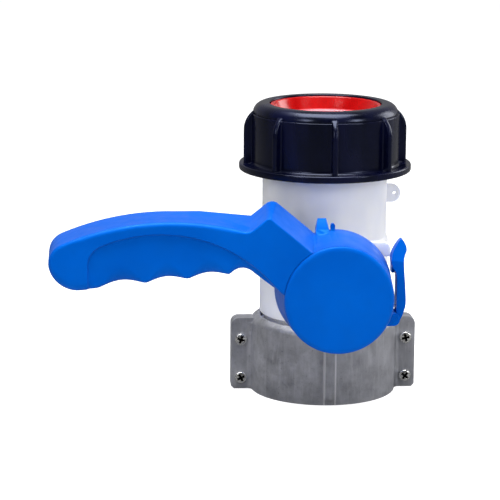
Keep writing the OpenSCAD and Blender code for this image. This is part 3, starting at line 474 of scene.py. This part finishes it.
def lower_depth(x, z):
    """Depth over the lower outline: heel, belly with its finger scallops, throat and neck."""
    depth = (z - belly(x)) * cosd(BELLY_SLOPE)
    for i in range(3):
        chord = PITCH + (2 if i == 2 else 0)
        mid = CUSP[0] - i * PITCH - chord / 2
        drop = math.sqrt(SCALLOP_R ** 2 - (chord / cosd(BELLY_SLOPE)) ** 2 / 4)
        scallop = (mid + drop * sind(BELLY_SLOPE), belly(mid) - drop * cosd(BELLY_SLOPE), SCALLOP_R)
        depth = low_bound(depth, -from_circle(x, z, scallop), 0.8)
    depth = low_bound(depth, -from_circle(x, z, THROAT), 0.8)
    end = (THROAT[0] + THROAT[2] * sind(THROAT_SLOPE), THROAT[1] + THROAT[2] * cosd(THROAT_SLOPE))
    line = (x - end[0]) * sind(THROAT_SLOPE) + (z - end[1]) * cosd(THROAT_SLOPE)
    neck = (turned(x, z, THROAT) + THROAT_SLOPE) % 360 < 90
    way = turned(x, z, HEEL)
    heel = (way > 90 + BELLY_SLOPE) & (way < 270 + BELLY_SLOPE)
    return np.where(neck, line, np.where(heel, end_depth(x, z), depth))


def panel_depth(x, z):
    """Depth inside the outline of the grip's stepped-in panel."""
    corner_x = PANEL_END + PANEL_R
    corner = (corner_x, PANEL[1] + math.sqrt((PANEL[2] - PANEL_R) ** 2 - (corner_x - PANEL[0]) ** 2))
    way = turned(x, z, corner)
    inside = (way > turned(*corner, PANEL)) & (way < 180)
    plain = np.minimum(from_circle(x, z, PANEL), x - PANEL_END)
    return np.where(inside, PANEL_R - np.hypot(x - corner[0], z - corner[1]), plain)


def lever_cutter():
    """What the mould takes off the lever's square front.

    Rays leave a spine inside the outline, straight up and down along the grip and the neck and like a fan at
    the tip. On each ray, points at depth d = c - a sin(t) inside the outline sink e = b (1 - cos(t)), where
    the edge's round is a high and b deep there, the wall leans out by an angle w, c = a tan(45 - w/2), and t
    runs to 90 - w. Each finger scallop is scooped, the heel is wide and the back small. The panel adds its
    step, as a half cosine wave 1 mm wide.
    """
    stations = np.arange(TIP[0] + 3, -8.9, 0.3)
    fan = np.linspace(270, 90, 72)[1:-1]
    rough = np.interp(stations, [-112, -90, -70, -40, -30, -9], [17.5, 19, 21, 21.5, 21, 5])

    def solve(depth, x, z, ux, uz, level):
        near, far = np.zeros(np.shape(level)), np.full(np.shape(level), 45.0)
        for _ in range(36):
            mid = (near + far) / 2
            deep = depth(x + ux * mid, z + uz * mid) > level
            near, far = np.where(deep, mid, near), np.where(deep, far, mid)
        return (near + far) / 2

    flat = np.zeros(len(stations))
    top = rough + solve(upper_depth, stations, rough, 0, 1, flat)
    low = rough - solve(lower_depth, stations, rough, 0, -1, flat)
    spine = np.convolve(np.pad((top + low) / 2, 12, mode="edge"), np.ones(25) / 25, mode="valid")
    sx = np.concatenate([stations[::-1], np.full(len(fan), stations[0]), stations])
    sz = np.concatenate([spine[::-1], np.full(len(fan), spine[0]), spine])
    way = np.radians(np.concatenate([np.full(len(stations), 270.0), fan, np.full(len(stations), 90.0)]))
    ux, uz = np.cos(way), np.sin(way)
    down = np.arange(len(sx)) < len(stations) + len(fan) / 2

    # Height and depth of the round: scooped at the fingers, wide at the heel, small along the back
    angle = np.degrees(way)
    end_high = 1.6 + 2.4 * np.exp(-((angle - 235) / 42) ** 2)
    end_deep = 1.5 + 0.7 * np.exp(-((angle - 235) / 42) ** 2)
    phase = (CUSP[0] - sx) / PITCH
    phase = np.where(phase > 2, 2 + (phase - 2) * PITCH / (PITCH + 2), phase)
    scoop = np.where((phase > 0) & (phase < 3), np.sin(np.pi * phase) ** 2, 0)
    gullet = np.exp(-((sx - THROAT[0]) / 4.5) ** 2)
    heel = np.clip((-100 - sx) / 8, 0, 1)
    heel = heel * heel * (3 - 2 * heel)
    above = 2.1 - 1.3 * np.clip((sx + 46) / 9, 0, 1)
    fanned = (angle > 90) & (angle < 270)
    high = np.where(fanned, end_high, np.where(down, 1.3 + 5.6 * scoop + 3.4 * gullet + 2.5 * heel, above))
    deep = np.where(fanned, end_deep, np.where(down, 1.2 + 2.3 * scoop + 1.8 * gullet + 0.8 * heel, above))
    high, deep = (np.convolve(np.pad(a, 4, mode="edge"), np.ones(9) / 9, mode="valid") for a in (high, deep))
    lean = np.where(down | fanned, 0, 10.1 * np.clip((sx - PEAK[0] + 1) / 2, 0, 1))

    turn = np.linspace(0, 1, 10)[None, :] * np.radians(90 - lean)[:, None]
    centre = high * np.tan(np.radians(45 - lean / 2))
    depth = centre[:, None] - high[:, None] * np.sin(turn)
    sink = deep[:, None] * (1 - np.cos(turn))
    out = np.array([0.5, 3.0])[None, :]
    depth = np.concatenate([depth, depth[:, -1:] - out], axis=1)
    sink = np.concatenate([sink, sink[:, -1:] + out / np.tan(np.radians(lean + 14))[:, None]], axis=1)
    shape = depth.shape
    wide = [np.broadcast_to(a[:, None], shape) for a in (sx, sz, ux, uz)]
    run = np.where(down[:, None], solve(lower_depth, *wide, depth), solve(upper_depth, *wide, depth))
    inner = np.linspace(0, 1, 49)[None, :-1] * run[:, :1]
    run = np.concatenate([inner, run], axis=1)
    sink = np.concatenate([np.zeros(inner.shape), sink], axis=1)
    x = sx[:, None] + ux[:, None] * run
    z = sz[:, None] + uz[:, None] * run
    step = np.clip(1 + panel_depth(x, z) / 1.0, 0, 1)
    sink = sink + 1.42 * (1 - np.cos(np.pi * step)) / 2
    front = np.stack([x, -LEVER_FRONT - 0.001 + sink, HUB_Z + z], axis=-1)
    rays, rows = x.shape
    faces = grid(rays, rows)

    # Close it: walls up from the outer row and from both ends to a plane in front of the lever
    rim = np.arange(rays) * rows + rows - 1
    cap = front[:, (0, -1)].reshape(-1, 3).copy()
    cap[:, 1] = -LEVER_FRONT - 5
    first = rays * rows
    lid_inner, lid_outer = first + 2 * np.arange(rays), first + 2 * np.arange(rays) + 1
    walls = np.stack([rim[:-1], rim[1:], lid_outer[1:], lid_outer[:-1]], axis=-1)
    lid = np.stack([lid_outer[:-1], lid_outer[1:], lid_inner[1:], lid_inner[:-1]], axis=-1)
    ends = [[*range(i * rows, i * rows + rows), lid_outer[i], lid_inner[i]] for i in (0, rays - 1)]
    faces = faces.tolist() + walls.tolist() + lid.tolist() + ends
    return surface("lever_cutter", np.concatenate([front.reshape(-1, 3), cap]), faces)


def turned_solid(name, profile, axis_z, count=128):
    """A solid of revolution about the lever's axis, from its profile as reach and radius in order, both ends
    on the axis."""
    angle = np.linspace(0, 2 * np.pi, count, endpoint=False)
    reach, radius = np.array(profile, float).T
    points = np.stack([radius[:, None] * np.cos(angle), np.broadcast_to(-reach[:, None], (len(reach), count)),
                       axis_z + radius[:, None] * np.sin(angle)], axis=-1).reshape(-1, 3)
    return surface(name, points, grid(len(reach), count, round_=True).tolist())


def lever_moulding():
    """The lever with its moulded front: rounded edges, finger scoops and a soft step round the panel."""
    side = [(LEVER_REAR - 1, 25.8), (65.4, 23.65), (75, 23.65)]
    # The cutter leaves the drum's cone as it is
    drum = turned_solid("drum_keep", [(LEVER_REAR - 1, 0), *side, (75, 0)], HUB_Z)
    mesh = without(merged("handle"), without(lever_cutter(), drum))
    return show("lever_moulding", shaded(mesh, 46), "blue_polypropylene", "lever", ("handle",))


def drum_cover():
    """The snapped-in cover: its front is a low dome, h = 0.25 (1 - (r / 21.1)^2), and its edge is a quarter
    of an ellipse 2.4 mm wide and 1.3 mm deep."""
    front = 67.5
    r = np.linspace(0, 21.1, 22)
    profile = [(front - 0.25 * (v / 21.1) ** 2, v) for v in r]
    turn = np.radians(np.linspace(0, 90, 14))[1:]
    profile += [(front - 0.25 - 1.3 * (1 - math.cos(a)), 21.1 + 2.4 * math.sin(a)) for a in turn]
    profile += [(65.45, 23.5), (65.4, 23.45), (65.4, 21.35), (62.4, 21.35)]
    profile += [(62.4, 19.8), (65.2, 19.8), (65.2, 0)]
    mesh = turned_solid("drum_cover", profile, HUB_Z, 160)
    return show("drum_cover", shaded(mesh, 50), "blue_polypropylene", "lever", ("hub_cover",))


def shaded(mesh, angle=32):
    """Smooth shading but for edges over an angle, with the large faces kept flat."""
    mesh.polygons.foreach_set("use_smooth", np.ones(len(mesh.polygons), bool))
    mesh.set_sharp_from_angle(angle=math.radians(angle))
    obj = bpy.data.objects.new("weighed", mesh)
    bpy.context.scene.collection.objects.link(obj)
    weigh = obj.modifiers.new("weigh", "WEIGHTED_NORMAL")
    weigh.keep_sharp, weigh.mode = True, "FACE_AREA"
    return baked(obj)


def softened_node(node, slot, body, width_mm):
    """A node in the scene's finish with small rounds on its hard edges."""
    mesh = softened(merged(node), width_mm)
    return show(node + "_moulded", shaded(mesh, 40), slot, body, (node,))


def helix_ridge(name, radius, tip, z_low, z_high, pitch, turn_from, width, slot, body):
    """A screw thread on a wall that stands about Z.

    The ridge's middle runs along z = z_low + pitch a / 360 for an angle a of turn_from and on, until it comes
    to z_high. Its section is a trapezium with rounded corners: at a share s from -1 to 1 of the foot's half
    width, it stands by the share clip(1.75 (1 - |s|), 0, 1), eased at both ends, of the way from the wall to
    the tip. Over the first and the last 25 degrees it grows out of the wall, and its foot is sunk in the wall.
    """
    span = (z_high - z_low) / pitch * 360
    a = np.arange(0, span + 1, 2.5)
    s = np.array([-1.0, -0.92, -0.75, -0.6, -0.5, -0.4, 0, 0.4, 0.5, 0.6, 0.75, 0.92, 1.0])
    rise = np.clip(1.75 * (1 - np.abs(s)), 0, 1)
    rise = rise * rise * (3 - 2 * rise)
    ends = np.clip(np.minimum(a, a[-1] - a) / 25, 0, 1)
    ends = ends * ends * (3 - 2 * ends)
    r = radius + (tip - radius) * rise[None, :] * ends[:, None]
    angle = np.radians(a + turn_from)[:, None]
    z = z_low + pitch * a[:, None] / 360 + s[None, :] * width / 2
    sunk = 0.15 * np.sign(radius - tip)
    r[:, (0, -1)] += sunk
    points = np.stack([r * np.cos(angle), r * np.sin(angle), np.broadcast_to(z, r.shape)], axis=-1)
    rows, columns = r.shape
    faces = grid(rows, columns).tolist()
    faces += [[i * columns + columns - 1, i * columns, (i + 1) * columns, (i + 1) * columns + columns - 1]
              for i in range(rows - 1)]
    faces += [list(range(columns)), list(range((rows - 1) * columns, rows * columns))]
    return show(name, shaded(surface(name, points.reshape(-1, 3), faces), 60), slot, body)


def cap_nut_moulding():
    """The cap nut with moulded roundings: a closed section swept about Z, with eight ribs raised out of it.

    A point of the section is at radius b and height z. A rib reaches out to 36.7 mm and, over z = 18, along a
    circle of 10.7 mm, so it stands D = reach - min(b, 33) out of the wall. Its sides are parallel, 1.2 mm from
    its middle: a column at s from the middle rises by H, which is the foot's fillet of 0.6 mm, then the crest,
    rounded by 0.9 mm, and both shrink by k = D / 1.5 where the rib is low. The point's radius is
    max(b, min(b, 33) + H).
    """
    def arc(x, z, r, start, end, count):
        a = np.radians(np.linspace(start, end, count))
        return [(x + r * math.cos(v), z + r * math.sin(v)) for v in a]

    # Underside and flange with its rounded rim, then the fillet to the wall
    rim = NUT_FLANGE_R - 0.7
    section = [(NUT_BORE_R, 0), (34, 0)] + arc(rim, 0.7, 0.7, -90, 0, 6) + arc(rim, 2.4, 0.7, 0, 90, 6)
    section += [(v, 3.1 - (rim - v) * 0.1) for v in np.linspace(37.2, 34.9, 8)]
    section += arc(NUT_R + 1.4, 4.2, 1.4, 270, 180, 8)
    # Wall, crease, rounded shoulder and the lip round the plug
    section += [(NUT_R, v) for v in np.concatenate([np.linspace(5, 17, 9), np.linspace(18, 24.8, 12)])]
    section += arc(NUT_R - 0.35, 25.0, 0.35, 0, 90, 5) + [(32.3, 25.3), (32.28, 25.5)]
    section += arc(27.9, 25.3, 4.6, 6, 90, 22) + [(26.4, 29.9)] + arc(25.5, 29.4, 0.5, 90, 180, 5)
    # Inside: under the lip and down the bore, where no rib is raised
    inside = [(25, 27.3), (NUT_BORE_R, 27.3), (NUT_BORE_R, 20), (NUT_BORE_R, 10), (NUT_BORE_R, 0)]
    section += inside
    b, z = (np.array(v)[:, None] for v in zip(*section))
    number = np.arange(len(section))
    outside = ((number > 1) & (number < len(section) - len(inside)))[:, None]
    over = np.clip(z - 18, 0, 8.5)
    reach = np.where(z > 26.5, 0, 26.0 + np.sqrt(10.7 ** 2 - over ** 2))
    wall = np.minimum(b, NUT_R)
    tall = np.where(outside, np.maximum(reach - wall, 0), 0)
    low = np.clip(tall / 1.5, 0, 1)

    turn = np.radians(np.linspace(0, 90, 6))
    side, rise = [2.1], [0 * low]
    side += list(1.2 + 0.6 * (1 - np.sin(turn)))
    rise += [0.6 * (1 - math.cos(v)) * low for v in turn]
    side += list(0.3 + 0.9 * np.cos(turn)) + [0.0]
    rise += [tall - 0.9 * low * (1 - math.sin(v)) for v in turn] + [tall]
    side = np.array(side + [-v for v in side[-2::-1]])[None, :]
    rise = np.concatenate(rise + rise[-2::-1], axis=1)
    r = np.maximum(b, wall + np.minimum(rise, tall))
    along = np.sqrt(r ** 2 - side ** 2)
    blocks = []
    for i in range(NUT_RIBS):
        middle = math.radians((i + NUT_RIB_SHARE) * 360 / NUT_RIBS + NUT_REST)
        x = along * math.cos(middle) + side * math.sin(middle)
        y = along * math.sin(middle) - side * math.cos(middle)
        blocks.append(np.stack([x, y, NUT_Z + np.broadcast_to(z, x.shape)], axis=-1))
        foot = np.arcsin(2.1 / b)
        gap = 2 * np.pi / NUT_RIBS - 2 * foot
        step = foot + gap * np.linspace(0, 1, 24)[None, 1:-1] + middle
        blocks.append(np.stack([b * np.cos(step), b * np.sin(step),
                                NUT_Z + np.broadcast_to(z, step.shape)], axis=-1))
    points = np.concatenate(blocks, axis=1)
    mesh = surface("cap_nut_moulding", points.reshape(-1, 3), grid(*points.shape[:2], round_=True).tolist())
    return show("cap_nut_moulding", shaded(mesh, 60), "black_polypropylene", "nut", ("cap_nut",))


SCREW_PLACES = [(x, z) for x in (-37.6, 37.6) for z in (5.4, 23.3)]
SCREW_HEAD_Y, SCREW_TOP_Y, SCREW_TIP_Y = -3.37, -5.32, 8.3
SCREW_HEAD_R, SCREW_R, SCREW_PITCH = 2.64, 1.5, 0.5


def clamp_screw_set():
    """Four pan-head screws with a cross recess and a rolled thread, each turned by its own angle.

    Along the axis, the surface has the radius of the head's rounded profile, then of the shank, less the
    thread: 0.3 mm times the triangle wave of (length / pitch - angle / 360). Inside the cross, whose arms are
    0.92 mm wide and 1.7 mm long, the head's crown sinks by up to 1.3 mm between soft edges 0.1 mm wide.
    """
    high = SCREW_HEAD_Y - SCREW_TOP_Y
    crown = np.linspace(0, 2.05, 46)
    turn = np.radians(np.linspace(0, 90, 8))
    rim = 0.55
    profile = [(r, high - 0.3 * (r / 2.05) ** 2, 0) for r in crown]
    profile += [(2.09 + rim * math.sin(t), high - 0.3 - rim * (1 - math.cos(t)), 0) for t in turn]
    profile += [(SCREW_HEAD_R, 0.12, 0), (SCREW_HEAD_R - 0.1, 0, 0), (SCREW_R, 0, 0)]
    length = SCREW_TIP_Y - SCREW_HEAD_Y
    profile += [(SCREW_R, -s, min((s - 0.4) / 1.0, (length - 0.3 - s) / 0.4, 1)) for s in
                np.arange(0.4, length - 0.3, SCREW_PITCH / 8)]
    profile += [(SCREW_R - 0.45, -length, 0), (0, -length, 0)]
    r, out, threaded = (np.array(v)[:, None] for v in zip(*profile))
    angle = np.linspace(0, 2 * np.pi, 72, endpoint=False)[None, :]
    wave = np.abs(((-out / SCREW_PITCH - angle / (2 * np.pi)) % 1) * 2 - 1)
    r = r - 0.3 * wave * np.clip(threaded, 0, 1)
    u, v = r * np.cos(angle), r * np.sin(angle)

    def inside(distance):
        return np.clip(distance / 0.1 + 0.5, 0, 1)

    arms = np.maximum(inside(0.46 - np.abs(u)) * inside(1.7 - np.abs(v)),
                      inside(0.46 - np.abs(v)) * inside(1.7 - np.abs(u)))
    on_crown = (np.arange(len(profile)) < len(crown))[:, None]
    out = out - 1.3 * arms * on_crown * (1 - 0.35 * r / 1.7)
    points, faces = [], []
    for i, (x, z) in enumerate(SCREW_PLACES):
        spin = math.radians((27, 71, 52, 12)[i])
        px = x + u * math.cos(spin) - v * math.sin(spin)
        pz = z + u * math.sin(spin) + v * math.cos(spin)
        block = np.stack([px, SCREW_HEAD_Y - np.broadcast_to(out, px.shape), pz], axis=-1)
        faces += grid(*px.shape, first=sum(len(p) for p in points), round_=True).tolist()
        points.append(block.reshape(-1, 3))
    mesh = surface("clamp_screw_set", np.concatenate(points), faces)

    # How far each corner lies down in a recess, from 0 to 1, for the painted shade there
    corners = np.empty(3 * len(mesh.vertices), dtype=np.float32)
    mesh.vertices.foreach_get("co", corners)
    x, y, z = corners.reshape(-1, 3).T / MM
    near = np.min([np.hypot(x - px, z - pz) for px, pz in SCREW_PLACES], axis=0)
    sunk = np.clip((y - SCREW_TOP_Y - 0.3 * (near / 2.05) ** 2) / 0.3, 0, 1)
    sunk = sunk * (near < 1.8) * (y < SCREW_HEAD_Y)
    mesh.attributes.new("recess", "FLOAT", "POINT").data.foreach_set("value", sunk.astype(np.float32))
    return show("clamp_screw_set", shaded(mesh, 50), "plated_steel", "housing", ("clamp_screws",))


lever_moulding()
drum_cover()
softened_node("lock_latch", "blue_polypropylene", "latch", 0.6)
softened_node("clamp_front", "cast_aluminium", "housing", 0.6)
softened_node("clamp_rear", "cast_aluminium", "housing", 0.6)
cap_nut_moulding()
softened_node("cap_plug", "red_polypropylene", "plug", 0.4)
clamp_screw_set()
helix_ridge("outlet_thread", NECK_R, THREAD_R, 106, 122, THREAD_PITCH, 0, 3.2,
            "milky_polyethylene", "housing")
helix_ridge("nut_thread", NUT_BORE_R, NUT_THREAD_R, 106, 121, THREAD_PITCH, 180, 2.4,
            "black_polypropylene", "nut")


def camera():
    """The camera on a line from its target, turned about that line by the photograph's small roll."""
    azimuth, elevation, roll = (math.radians(a) for a in (VIEW_AZIMUTH, VIEW_ELEVATION, VIEW_ROLL))
    back = Vector((math.sin(azimuth) * math.cos(elevation), -math.cos(azimuth) * math.cos(elevation),
                   math.sin(elevation)))
    right = back.cross(Vector((0, 0, 1))).normalized() * -1
    up = back.cross(right)
    tilted_right = right * math.cos(roll) + up * math.sin(roll)
    tilted_up = up * math.cos(roll) - right * math.sin(roll)
    data = bpy.data.cameras.new("photograph_camera")
    data.sensor_width = SENSOR
    data.lens = FOCAL_PIXELS * SENSOR / FRAME_PIXELS
    data.clip_end = 20
    obj = bpy.data.objects.new("photograph_camera", data)
    place = (Vector(VIEW_TARGET) + back * VIEW_DISTANCE) * MM
    turn = Matrix((tilted_right, tilted_up, back)).transposed().to_4x4()
    obj.matrix_world = Matrix.Translation(place) @ turn
    bpy.context.scene.collection.objects.link(obj)
    bpy.context.scene.camera = obj


def softbox(name, place, target, width, height, power):
    """A rectangular studio lamp at a place, facing a target."""
    data = bpy.data.lights.new(name, "AREA")
    data.shape = "RECTANGLE"
    data.size, data.size_y, data.energy = width, height, power
    obj = bpy.data.objects.new(name, data)
    facing = (Vector(target) - Vector(place)).to_track_quat("-Z", "Y")
    obj.matrix_world = Matrix.Translation(place) @ facing.to_matrix().to_4x4()
    bpy.context.scene.collection.objects.link(obj)


def studio():
    """White background for the camera, a dimmer room for the fill, softboxes and a pale floor."""
    world = bpy.data.worlds.new("studio")
    bpy.context.scene.world = world
    world.use_nodes = True
    tree = world.node_tree
    tree.nodes.clear()
    rays = add(tree, "ShaderNodeLightPath")
    kinds = {0: rays.outputs["Is Camera Ray"], 1: rays.outputs["Is Transmission Ray"]}
    seen = add(tree, "ShaderNodeMath", kinds, operation="MAXIMUM").outputs[0]
    direction = add(tree, "ShaderNodeTexCoord").outputs["Generated"]
    ahead = add(tree, "ShaderNodeSeparateXYZ", {0: direction}).outputs["Y"]
    gloss = between(tree, ahead, -0.1, 0.7, 0.06, 0.3)
    level = add(tree, "ShaderNodeMix", {0: rays.outputs["Is Glossy Ray"], 2: 0.36, 3: gloss}).outputs[0]
    level = add(tree, "ShaderNodeMix", {0: seen, 2: level, 3: 1.0}).outputs[0]
    back = add(tree, "ShaderNodeBackground", {"Color": (1, 1, 1, 1), "Strength": level})
    add(tree, "ShaderNodeOutputWorld", {"Surface": back.outputs[0]})

    centre = (-0.02, -0.01, 0.06)
    softbox("top_box", (-0.05, -0.10, 0.85), centre, 0.7, 0.6, 13.0)
    softbox("front_left_box", (-0.65, -0.85, 0.55), centre, 0.28, 0.4, 2.8)
    softbox("front_right_box", (0.75, -0.75, 0.45), centre, 0.26, 0.4, 3.2)
    softbox("right_back_box", (0.75, 0.35, 0.35), centre, 0.4, 0.5, 3.0)

    mesh = bpy.data.meshes.new("pale_floor")
    reach = 3.0
    mesh.from_pydata([(-reach, -reach, 0), (reach, -reach, 0), (reach, reach, 0), (-reach, reach, 0)],
                     [], [(0, 1, 2, 3)])
    floor = bpy.data.objects.new("pale_floor", mesh)
    floor.location.z = -0.0002
    bpy.context.scene.collection.objects.link(floor)
    material = bpy.data.materials.new("pale_floor")
    material.use_nodes = True
    tree = material.node_tree
    tree.nodes.clear()
    rays = add(tree, "ShaderNodeLightPath")
    shade = between(tree, rays.outputs["Is Glossy Ray"], 0, 1, 0.5, 0.16)
    matt = add(tree, "ShaderNodeBsdfDiffuse", {"Color": shade})
    white = add(tree, "ShaderNodeEmission", {"Color": (1, 1, 1, 1), "Strength": 0.8})
    lifted = add(tree, "ShaderNodeAddShader", {0: matt.outputs[0], 1: white.outputs[0]})
    mixed = add(tree, "ShaderNodeMixShader", {0: rays.outputs["Is Camera Ray"], 1: matt.outputs[0],
                                              2: lifted.outputs[0]})
    add(tree, "ShaderNodeOutputMaterial", {"Surface": mixed.outputs[0]})
    mesh.materials.append(material)


camera()
studio()
bpy.context.scene.view_settings.view_transform = "Standard"
